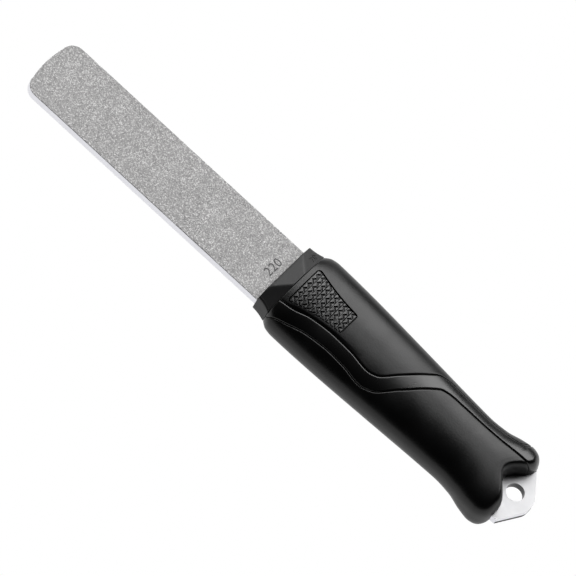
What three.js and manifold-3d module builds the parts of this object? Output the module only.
// Double-sided flat diamond sharpening file with a full-tang handle, in millimetres, +Z up.
// The file is laid out with x = 0 at the front of the handle collar, +X towards the butt and
// z = 0 on the middle plane of the steel plate. The finished group is moved so that its origin
// is at the middle of the underside of its own box.
import * as THREE from "three";
import { mergeVertices } from "three/addons/utils/BufferGeometryUtils.js";
import Module from "manifold-3d";

// Steel plate and its two plated faces.
const PLATE_WIDTH = 25.4;
const STEEL_THICKNESS = 3.1;
const DIAMOND_THICKNESS = 0.2;
const TIP_REACH = 107.6; // from the collar's front to the tip
const TIP_CORNER = 4.8;
const TIP_CROWN = 0.8; // how far the middle of the tip stands ahead of its corners
const PLATING_END = 0; // where the plating stops, measured from the collar's front
const PLATING_MARGIN = 0.15; // bare rim of steel round the plated faces

// Tail of the plate, which shows behind the handle and carries the lanyard hole.
const TAIL_PAST_LOBES = 7.4;
const TAIL_FLAT = 4.6;
const TAIL_TAPER_DEG = 58;
const TAIL_CORNER = 1.2;
const LANYARD_HOLE = 6.6;
const LANYARD_WALL = 4.1; // steel left between the hole and the tail's end

// Handle outline, seen from above. Each wall is what stands outside the plate's side edge.
const HANDLE_LENGTH = 106.9; // from the collar's front to the tips of the two butt lobes
const COLLAR_LENGTH = 5.8;
const COLLAR_SIDE_WALL = 1.1;
const COLLAR_FLARE_POWER = 2; // 1 flares evenly, more keeps the collar slim near its lip
const NECK_SIDE_WALL = 3;
const SHOULDER_FROM_COLLAR = 5.4;
const SHOULDER_SIDE_WALL = 5.05;
const SHOULDER_SWELL = [0.45, 0.8]; // this share of the way, this share of the widening is done
const WAIST_FROM_END = 22.6;
const WAIST_SIDE_WALL = 1.75;
const WAIST_LEAD = [5.65, 0.2]; // this far ahead of the waist the side is this much wider
const FLARE_FROM_END = 6.4;
const FLARE_SIDE_WALL = 4.05;
const FLARE_SWELL = [[0.4, 0.25], [0.75, 0.8]]; // as SHOULDER_SWELL, from the waist to the flare
const LOBE_DRAWN_IN = 1.1; // the butt closes this far inside the plate's side edge
const HANDLE_LEAN = 0.013; // sideways drift of the grip per millimetre of length
const LEAN_PIVOT = 55;

// Handle thickness, measured from the plate's plated face.
const COLLAR_LIP_RISE = 4.15;
const COLLAR_CREST_RISE = 6.35;
const GUIDE_ANGLE_DEG = 20; // slope of the collar's two side facets
const RAMP_HALF_WIDTH = 9; // the collar's middle ramp, measured along its front lip
const COLLAR_EDGE = 0.9;
const COLLAR_SIDE_SHARE = 1 / 3; // height of the side wall's middle line
const COLLAR_STEP_IN = 0.4; // how far the collar's rear edge stands inside the handle's neck
const NECK_RISE = 6.55;
const SHOULDER_RISE = 7.65;
const BELLY_START = 1; // the full height is reached this far behind the shoulder
const BELLY_END_FROM_END = 46.9;
const WAIST_RISE = 7.05;
const FLARE_RISE = 7.55;
const BUTT_RISE = 1.15; // what is left where the butt closes on the plate
const BUTT_ROLL = 4.6;
const LOBE_ROLL = 6.4;
const SECTION_POWER = 2.5; // 2 is an ellipse, more is boxier

// Notch between the two lobes of the butt.
const NOTCH_DEPTH = 6.1;
const NOTCH_HALF_WIDTH = 10.4;
const NOTCH_SHIFT = 1.2; // how far its middle lies to the thumb side
const NOTCH_FADE = 15;

// Grooves where the hard band meets the two soft grips: distance from the collar's front, then y.
// They are drawn for a handle of this length round a plate of this width, and stretch with both.
const GROOVES_DRAWN_FOR = { length: 106.9, width: 25.4 };
const UPPER_GROOVE = [
  [-1, -9.6], [10, -9.8], [18, -7.7], [27, -6.8], [35, -7.0], [43.5, -8.05], [47, -7.2],
  [52.8, -0.8], [59.1, 6.8], [62.6, 10.4], [67, 11.5], [84, 11.15], [101, 12.4],
];
const LOWER_GROOVE = [
  [-1, -17], [12, -14.8], [21, -12.7], [30, -12.0], [37, -12.3], [44.5, -13.25], [49.5, -12.0],
  [56.4, -4.9], [62.8, 2.7], [66.5, 6.1], [71, 7.0], [107, 7.6],
];
const THUMB_GRIP_END_GAP = 6.6; // the thumb-side grip stops this far short of the lobes

// Thumb pads, one let into each face of the thumb-side grip.
const PAD_FROM_COLLAR = 2.1; // from the collar's rear edge
const PAD_LENGTH = 20.8;
const PAD_FRONT_DRAWN_IN = 4.3; // from the plate's side edge
const PAD_REAR_DRAWN_IN = 7.9;
const PAD_WAIST_SHARE = 0.35; // how far the pad's sides bow in, as a share of its taper
const PAD_WAIST_PLACE = 0.45; // where they bow in, as a share of its length
const PAD_OFFSET = -0.6; // the pad's middle line, from the leaning middle line of the grip
const PAD_CORNER = 1.2;
const PAD_THICKNESS = 1.1;

// Construction of the handle.
const GRIP_WALL = 2;
const CORE_WALL_AT_BUTT = 0.8;
const SEAM_GAP = 0.3; // between neighbouring handle pieces
const TANG_CLEARANCE = 0.15;
const SPIGOT_LENGTH = 3.5; // the collar's rear tongue, which seats inside the two core shells
const SPIGOT_ROOT = 2; // how far the tongue starts inside the collar
const SPIGOT_SIDE_WALL = 0.8; // outside the plate's side edge
const SPIGOT_WALL = 2.25; // above the plate's plated face
const PIN_DIAMETER = 4;
const PIN_DEPTH = 4; // how deep each dowel pin goes into a core shell
const FRONT_PIN_FROM_COLLAR = 12.2; // from the collar's rear edge
const REAR_PIN_FROM_END = 22.9;
const MIDDLE_PIN_AHEAD = 1; // how far the middle pin stands ahead of halfway between the others
const PIN_CLEARANCE = 0.15;

// How finely the curved forms are cut.
const RING_SIDES = 36;
const BODY_RINGS = 20;
const FRONT_CROWDING = 0.45; // 1 spaces the rings evenly, less crowds them towards the collar
const ROLL_RINGS = 4;
const COLLAR_STATIONS = [0, 0.12, 0.35, 0.6, 0.8, 1]; // as shares of the collar's length
const GROOVE_STEP = 2.4;
const CURVE_SEGMENTS = 6;
const FAR = 200; // longer than anything that a cutting solid has to pass

const wasm = await Module();
wasm.setup();

const plateHalf = STEEL_THICKNESS / 2 + DIAMOND_THICKNESS;
const sideEdge = PLATE_WIDTH / 2;
const leanAt = (x) => HANDLE_LEAN * (LEAN_PIVOT - x);
const mix = THREE.MathUtils.lerp;
const ease = THREE.MathUtils.smoothstep;

// Value at x of the smooth line through the given [x, value] points. It never overshoots them.
function through(points, x) {
  const last = points.length - 1;
  if (x <= points[0][0]) return points[0][1];
  if (x >= points[last][0]) return points[last][1];
  const step = (i) => points[i + 1][0] - points[i][0];
  const slope = (i) => (points[i + 1][1] - points[i][1]) / step(i);
  const tangent = (i) => {
    if (i === 0) return slope(0);
    if (i === last) return slope(last - 1);
    const before = slope(i - 1);
    const after = slope(i);
    if (before * after <= 0) return 0;
    const a = 2 * step(i) + step(i - 1);
    const b = step(i) + 2 * step(i - 1);
    return (a + b) / (a / before + b / after);
  };
  const i = points.findIndex((p, k) => k < last && x <= points[k + 1][0]);
  const u = (x - points[i][0]) / step(i);
  return (
    points[i][1] * (1 + 2 * u) * (1 - u) ** 2 +
    points[i + 1][1] * u * u * (3 - 2 * u) +
    step(i) * u * (1 - u) * (tangent(i) * (1 - u) - tangent(i + 1) * u)
  );
}

// Half-width and half-height of the handle at a distance x from the collar's front.
const shoulderX = COLLAR_LENGTH + SHOULDER_FROM_COLLAR;
const waistX = HANDLE_LENGTH - WAIST_FROM_END;
const flareX = HANDLE_LENGTH - FLARE_FROM_END;
const swell = ([way, widening], startX, startWall, endX, endWall) => [
  mix(startX, endX, way),
  mix(startWall, endWall, widening),
];
const sideWallAt = (x) =>
  through(
    [
      [COLLAR_LENGTH, NECK_SIDE_WALL],
      swell(SHOULDER_SWELL, COLLAR_LENGTH, NECK_SIDE_WALL, shoulderX, SHOULDER_SIDE_WALL),
      [shoulderX, SHOULDER_SIDE_WALL],
      [waistX - WAIST_LEAD[0], WAIST_SIDE_WALL + WAIST_LEAD[1]],
      [waistX, WAIST_SIDE_WALL],
      ...FLARE_SWELL.map((s) => swell(s, waistX, WAIST_SIDE_WALL, flareX, FLARE_SIDE_WALL)),
      [flareX, FLARE_SIDE_WALL],
    ],
    x,
  );
const halfWidthAt = (x) => sideEdge + sideWallAt(x);
const riseAt = (x) =>
  through(
    [
      [COLLAR_LENGTH, NECK_RISE],
      [shoulderX + BELLY_START, SHOULDER_RISE],
      [HANDLE_LENGTH - BELLY_END_FROM_END, SHOULDER_RISE],
      [waistX, WAIST_RISE],
      [flareX, FLARE_RISE],
    ],
    x,
  );
const halfHeightAt = (x) => plateHalf + riseAt(x);
const pinStations = () => {
  const front = COLLAR_LENGTH + FRONT_PIN_FROM_COLLAR;
  const rear = HANDLE_LENGTH - REAR_PIN_FROM_END;
  return [front, (front + rear) / 2 - MIDDLE_PIN_AHEAD, rear];
};

// How far the notch draws the butt back at the given y.
const notchAt = (y) => {
  const off = (y - NOTCH_SHIFT) / NOTCH_HALF_WIDTH;
  return Math.abs(off) < 1 ? NOTCH_DEPTH * Math.cos((Math.PI / 2) * off) ** 2 : 0;
};

// One closed body from rings of points that all have the same number of corners.
function loft(rings) {
  const sides = rings[0].length;
  const points = rings.flat();
  const faces = [];
  rings.slice(1).forEach((_, k) => {
    for (let i = 0; i < sides; i++) {
      const a = k * sides + i;
      const b = k * sides + ((i + 1) % sides);
      faces.push(a, b, b + sides, a, b + sides, a + sides);
    }
  });
  // Each end is closed by strips between a point above the middle plane and the one below it.
  const closeEnd = (base, flip) => {
    for (let i = 0; i < sides / 2 - 1; i++) {
      const a = base + i;
      const b = base + i + 1;
      const c = base + sides - 1 - i;
      const d = base + sides - 2 - i;
      for (const [p, q, r] of [[a, c, b], [b, c, d]]) faces.push(p, flip ? r : q, flip ? q : r);
    }
  };
  closeEnd(0, false);
  closeEnd((rings.length - 1) * sides, true);
  const geometry = new THREE.BufferGeometry();
  geometry.setAttribute("position", new THREE.Float32BufferAttribute(points.flatMap((p) => p), 3));
  geometry.setIndex(faces);
  return geometry;
}

// A closed geometry as a solid that can be joined and cut.
function solid(geometry) {
  const bare = geometry.clone();
  bare.deleteAttribute("normal");
  bare.deleteAttribute("uv");
  const merged = mergeVertices(bare, 1e-4);
  return new wasm.Manifold(
    new wasm.Mesh({
      numProp: 3,
      vertProperties: new Float32Array(merged.attributes.position.array),
      triVerts: new Uint32Array(merged.index.array),
    }),
  );
}

// The handle's form behind the collar, drawn in by inset all round.
function handleForm(inset, endHalfHeight = plateHalf + BUTT_RISE) {
  const front = COLLAR_LENGTH + (inset ? inset : SEAM_GAP / 2);
  const end = HANDLE_LENGTH - inset;
  const rollStart = end - LOBE_ROLL;
  const stations = [];
  for (let k = 0; k <= BODY_RINGS; k++) {
    const share = k / BODY_RINGS;
    stations.push(mix(front, rollStart, mix(share * share, share, FRONT_CROWDING)));
  }
  for (let k = 1; k <= ROLL_RINGS; k++) {
    stations.push(rollStart + LOBE_ROLL * Math.sin((Math.PI / 2) * (k / ROLL_RINGS)));
  }
  const rings = stations.map((x) => {
    const lobe = Math.max(0, (x - rollStart) / LOBE_ROLL);
    const roll = Math.max(0, (x - (end - BUTT_ROLL)) / BUTT_ROLL);
    const lobeShare = 1 - Math.sqrt(Math.max(0, 1 - lobe * lobe));
    const rollShare = 1 - Math.sqrt(Math.max(0, 1 - roll * roll));
    const width = mix(halfWidthAt(x), sideEdge - LOBE_DRAWN_IN, lobeShare) - inset;
    const height = mix(halfHeightAt(x) - inset, endHalfHeight, rollShare);
    const ring = [];
    for (let i = 0; i < RING_SIDES; i++) {
      const angle = (2 * Math.PI * (i + 0.5)) / RING_SIDES;
      const power = 2 / SECTION_POWER;
      const across = Math.sign(Math.cos(angle)) * Math.abs(Math.cos(angle)) ** power;
      const up = Math.sign(Math.sin(angle)) * Math.abs(Math.sin(angle)) ** power;
      const y = width * across;
      const drawn = notchAt(y) * ease(x, end - NOTCH_FADE, end);
      ring.push([x - drawn, leanAt(x) + y, height * up]);
    }
    return ring;
  });
  return solid(loft(rings));
}

// A prism over an outline in the XY plane, from z = low to z = high.
function prism(outline, low, high) {
  const shape = outline instanceof THREE.Shape ? outline : new THREE.Shape(outline);
  const options = { depth: high - low, bevelEnabled: false, curveSegments: CURVE_SEGMENTS };
  return solid(new THREE.ExtrudeGeometry(shape, options).translate(0, 0, low));
}

// The outline of everything on one side of a groove: side is +1 towards +Y and -1 towards -Y.
// It stands half a seam gap clear of the groove's middle line.
function besideGroove(drawn, side, endX = FAR) {
  const alongX = HANDLE_LENGTH / GROOVES_DRAWN_FOR.length;
  const alongY = PLATE_WIDTH / GROOVES_DRAWN_FOR.width;
  const groove = drawn.map(([x, y]) => [x * alongX, y * alongY]);
  const points = [];
  const clear = (side * SEAM_GAP) / 2;
  const last = Math.min(endX, HANDLE_LENGTH + 1);
  for (let x = 0; x < last; x += GROOVE_STEP) {
    points.push(new THREE.Vector2(x, through(groove, x) + clear));
  }
  points.push(new THREE.Vector2(last, through(groove, last) + clear));
  points.push(new THREE.Vector2(last, side * FAR));
  points.push(new THREE.Vector2(0, side * FAR));
  return points;
}

// A straight pin or hole along Z.
function upright(diameter, low, high, x, y) {
  const cylinder = new THREE.CylinderGeometry(diameter / 2, diameter / 2, high - low, 24);
  return solid(cylinder.rotateX(Math.PI / 2).translate(x, y, (low + high) / 2));
}

// The plate's outline. cut draws it in all round, and endX ends it straight there when given.
function plateOutline(cut = 0, endX = null) {
  const half = sideEdge - cut;
  const corner = TIP_CORNER - cut;
  const tip = -TIP_REACH + cut + TIP_CROWN;
  const shape = new THREE.Shape();
  shape.moveTo(tip, -half + corner);
  shape.quadraticCurveTo(tip - 2 * TIP_CROWN, 0, tip, half - corner);
  shape.absarc(tip + corner, half - corner, corner, Math.PI, Math.PI / 2, true);
  if (endX !== null) {
    shape.lineTo(endX, half);
    shape.lineTo(endX, -half);
  } else {
    const tailY = leanAt(HANDLE_LENGTH);
    const taper = THREE.MathUtils.degToRad(TAIL_TAPER_DEG);
    const tailX = HANDLE_LENGTH + TAIL_PAST_LOBES;
    const flat = TAIL_FLAT / 2;
    const startOf = (y) => tailX - (Math.abs(y - tailY) - flat) / Math.tan(taper);
    const easeX = TAIL_CORNER * Math.cos(taper);
    const easeY = TAIL_CORNER * Math.sin(taper);
    shape.lineTo(startOf(half), half);
    shape.lineTo(tailX - easeX, tailY + flat + easeY);
    shape.quadraticCurveTo(tailX, tailY + flat, tailX, tailY + flat - TAIL_CORNER);
    shape.lineTo(tailX, tailY - flat + TAIL_CORNER);
    shape.quadraticCurveTo(tailX, tailY - flat, tailX - easeX, tailY - flat - easeY);
    shape.lineTo(startOf(-half), -half);
  }
  shape.lineTo(tip + corner, -half);
  shape.absarc(tip + corner, -half + corner, corner, -Math.PI / 2, -Math.PI, true);
  return shape;
}

// Full-length steel plate: working end, tang with its three pin holes, and tail.
function steelPlate() {
  let plate = prism(plateOutline(), -STEEL_THICKNESS / 2, STEEL_THICKNESS / 2);
  const holeX = HANDLE_LENGTH + TAIL_PAST_LOBES - LANYARD_WALL - LANYARD_HOLE / 2;
  plate = plate.subtract(upright(LANYARD_HOLE, -FAR, FAR, holeX, 0));
  for (const x of pinStations()) {
    const hole = PIN_DIAMETER + 2 * PIN_CLEARANCE;
    plate = plate.subtract(upright(hole, -FAR, FAR, x, leanAt(x)));
  }
  return plate;
}

// Diamond-coated face: side is +1 on the coarse face and -1 on the fine one.
function diamondFace(side) {
  const base = (side * STEEL_THICKNESS) / 2;
  const outer = base + side * DIAMOND_THICKNESS;
  const outline = plateOutline(PLATING_MARGIN, PLATING_END);
  return prism(outline, Math.min(base, outer), Math.max(base, outer));
}

// Space that the plate takes inside the handle pieces.
function tangSlot() {
  const half = sideEdge + TANG_CLEARANCE;
  const outline = [
    new THREE.Vector2(-FAR, -half),
    new THREE.Vector2(FAR, -half),
    new THREE.Vector2(FAR, half),
    new THREE.Vector2(-FAR, half),
  ];
  const up = plateHalf + TANG_CLEARANCE;
  return prism(outline, -up, up);
}

// Collar with a ramp and two sloping guide facets on each face, and a tongue behind it.
function guideCollar(slot) {
  const fall = Math.tan(THREE.MathUtils.degToRad(GUIDE_ANGLE_DEG));
  const rear = COLLAR_LENGTH - SEAM_GAP / 2;
  const facetTop = plateHalf + COLLAR_LIP_RISE + fall * RAMP_HALF_WIDTH;
  const neck = NECK_SIDE_WALL - COLLAR_STEP_IN;
  const rings = COLLAR_STATIONS.map((share) => {
    const x = rear * share;
    const eased = share === 0 ? COLLAR_EDGE / 2 : 0;
    const wall = mix(COLLAR_SIDE_WALL, neck, share ** COLLAR_FLARE_POWER);
    const width = sideEdge + wall - eased;
    const ramp = plateHalf + mix(COLLAR_LIP_RISE, COLLAR_CREST_RISE, share) - eased;
    const ridge = (facetTop - ramp) / fall;
    const side = facetTop - fall * width - eased;
    const half = [
      [width, side - COLLAR_EDGE],
      [width - COLLAR_EDGE, side + COLLAR_EDGE * fall],
      [ridge, ramp],
    ];
    const right = [[width, side * COLLAR_SIDE_SHARE], ...half];
    const left = [...right].reverse().map(([y, z]) => [-y, z]);
    const top = [...right, ...left];
    const under = [...top].reverse().map(([y, z]) => [y, -z]);
    return [...top, ...under].map(([y, z]) => [x, leanAt(x) + y, z]);
  });
  let collar = solid(loft(rings));
  collar = collar.add(spigot(0)).subtract(slot);
  return collar;
}

// The collar's tongue, or with a clearance the seat for it in the core shells.
function spigot(clearance) {
  const start = COLLAR_LENGTH - SPIGOT_ROOT;
  const length = SPIGOT_LENGTH + SPIGOT_ROOT + clearance;
  const box = new THREE.BoxGeometry(
    length,
    2 * (sideEdge + SPIGOT_SIDE_WALL + clearance),
    2 * (plateHalf + SPIGOT_WALL + clearance),
  );
  return solid(box.translate(start + length / 2, leanAt(COLLAR_LENGTH), 0));
}

// The pad's outline, drawn out all round by grow.
function padOutline(grow) {
  const padFront = COLLAR_LENGTH + PAD_FROM_COLLAR;
  const front = padFront - grow;
  const rear = padFront + PAD_LENGTH + grow;
  const wide = sideEdge - PAD_FRONT_DRAWN_IN + grow;
  const narrow = sideEdge - PAD_REAR_DRAWN_IN + grow;
  const y = leanAt(padFront) + PAD_OFFSET;
  const shape = new THREE.Shape();
  const waistX = mix(front, rear, PAD_WAIST_PLACE);
  const waistY = mix(wide, narrow, PAD_WAIST_PLACE + PAD_WAIST_SHARE);
  shape.moveTo(front, y - wide + PAD_CORNER);
  shape.quadraticCurveTo(front, y - wide, front + PAD_CORNER, y - wide);
  shape.quadraticCurveTo(waistX, y - waistY, rear - PAD_CORNER, y - narrow);
  shape.quadraticCurveTo(rear, y - narrow, rear, y - narrow + PAD_CORNER);
  shape.lineTo(rear, y + narrow - PAD_CORNER);
  shape.quadraticCurveTo(rear, y + narrow, rear - PAD_CORNER, y + narrow);
  shape.quadraticCurveTo(waistX, y + waistY, front + PAD_CORNER, y + wide);
  shape.quadraticCurveTo(front, y + wide, front, y + wide - PAD_CORNER);
  return shape;
}

// Builds every handle piece from the outer form, the inner form and the two grooves.
function handlePieces() {
  const slot = tangSlot();
  const outer = handleForm(0);
  const innerEnd = plateHalf + TANG_CLEARANCE + CORE_WALL_AT_BUTT;
  const inner = handleForm(GRIP_WALL, innerEnd);
  const innerRoom = handleForm(GRIP_WALL - SEAM_GAP, innerEnd + SEAM_GAP);
  const padFloor = handleForm(PAD_THICKNESS);
  const pocketFloor = handleForm(PAD_THICKNESS + SEAM_GAP);

  const thumbEnd = HANDLE_LENGTH - THUMB_GRIP_END_GAP;
  const thumbSide = prism(besideGroove(UPPER_GROOVE, 1, thumbEnd), -FAR, FAR);
  const palmSide = prism(besideGroove(LOWER_GROOVE, -1), -FAR, FAR);
  const aboveBand = prism(besideGroove(UPPER_GROOVE, 1, thumbEnd + SEAM_GAP), -FAR, FAR);
  const belowBand = palmSide.translate([0, SEAM_GAP, 0]);
  const thumbRoom = aboveBand.translate([0, -SEAM_GAP, 0]);
  const band = outer.subtract(belowBand).subtract(thumbRoom);

  // The two hard core shells meet on the middle plane, round the plate and the dowel pins.
  const seat = spigot(SEAM_GAP);
  let core = band.add(inner).subtract(slot).subtract(seat);
  for (const x of pinStations()) {
    const reach = STEEL_THICKNESS / 2 + PIN_DEPTH + PIN_CLEARANCE;
    const hole = PIN_DIAMETER + 2 * PIN_CLEARANCE;
    core = core.subtract(upright(hole, -reach, reach, x, leanAt(x)));
  }
  const halfSpace = (side) => {
    const box = new THREE.BoxGeometry(2 * FAR, FAR, FAR);
    return solid(box.translate(0, 0, side * (FAR / 2 + SEAM_GAP / 4)));
  };

  // The pads sit in pockets let into the thumb-side grip.
  const padPrism = (side, grow) => {
    const low = side > 0 ? plateHalf : -FAR;
    const high = side > 0 ? FAR : -plateHalf;
    return prism(padOutline(grow), low, high);
  };
  const pad = (side) => outer.intersect(padPrism(side, 0)).subtract(padFloor);
  let thumbGrip = outer.intersect(thumbSide).subtract(innerRoom).subtract(slot).subtract(seat);
  for (const side of [1, -1]) {
    thumbGrip = thumbGrip.subtract(padPrism(side, SEAM_GAP).subtract(pocketFloor));
  }
  const palmGrip = outer.intersect(palmSide).subtract(innerRoom).subtract(slot).subtract(seat);
  return {
    angle_guide_collar: guideCollar(slot),
    front_core_shell: core.intersect(halfSpace(1)),
    back_core_shell: core.intersect(halfSpace(-1)),
    palm_grip: palmGrip,
    thumb_grip: thumbGrip,
    front_thumb_pad: pad(1),
    back_thumb_pad: pad(-1),
  };
}

// Three dowel pins that lock the tang between the core shells.
function dowelPins() {
  const reach = STEEL_THICKNESS / 2 + PIN_DEPTH;
  const names = ["front_dowel_pin", "middle_dowel_pin", "rear_dowel_pin"];
  const stations = pinStations();
  const pins = names.map((name, k) => {
    const x = stations[k];
    return [name, upright(PIN_DIAMETER, -reach, reach, x, leanAt(x))];
  });
  return Object.fromEntries(pins);
}

const finishes = {
  steel: { color: 0xdcdde0, roughness: 0.35, metalness: 1 },
  diamond: { color: 0xa6a5a2, roughness: 0.6, metalness: 0.8 },
  fineDiamond: { color: 0x9a9a9c, roughness: 0.5, metalness: 0.8 },
  hardPlastic: { color: 0x151516, roughness: 0.38, metalness: 0 },
  softGrip: { color: 0x1e1e20, roughness: 0.62, metalness: 0 },
  pin: { color: 0xb8babd, roughness: 0.3, metalness: 1 },
};

const finishOf = {
  steel_plate: "steel",
  coarse_diamond_face: "diamond",
  fine_diamond_face: "fineDiamond",
  angle_guide_collar: "hardPlastic",
  front_core_shell: "hardPlastic",
  back_core_shell: "hardPlastic",
  palm_grip: "softGrip",
  thumb_grip: "softGrip",
  front_thumb_pad: "softGrip",
  back_thumb_pad: "softGrip",
  front_dowel_pin: "pin",
  middle_dowel_pin: "pin",
  rear_dowel_pin: "pin",
};

const solids = {
  steel_plate: steelPlate(),
  coarse_diamond_face: diamondFace(1),
  fine_diamond_face: diamondFace(-1),
  ...handlePieces(),
  ...dowelPins(),
};

const sharpeningFile = new THREE.Group();
for (const [name, made] of Object.entries(solids)) {
  const cut = made.getMesh();
  const geometry = new THREE.BufferGeometry();
  geometry.setAttribute("position", new THREE.BufferAttribute(cut.vertProperties, 3));
  geometry.setIndex(new THREE.BufferAttribute(cut.triVerts, 1));
  geometry.computeVertexNormals();
  const mesh = new THREE.Mesh(geometry, new THREE.MeshStandardMaterial(finishes[finishOf[name]]));
  mesh.name = name;
  sharpeningFile.add(mesh);
}

const box = new THREE.Box3().setFromObject(sharpeningFile);
const centre = box.getCenter(new THREE.Vector3());
sharpeningFile.position.set(-centre.x, -centre.y, -box.min.z);

export default sharpeningFile;
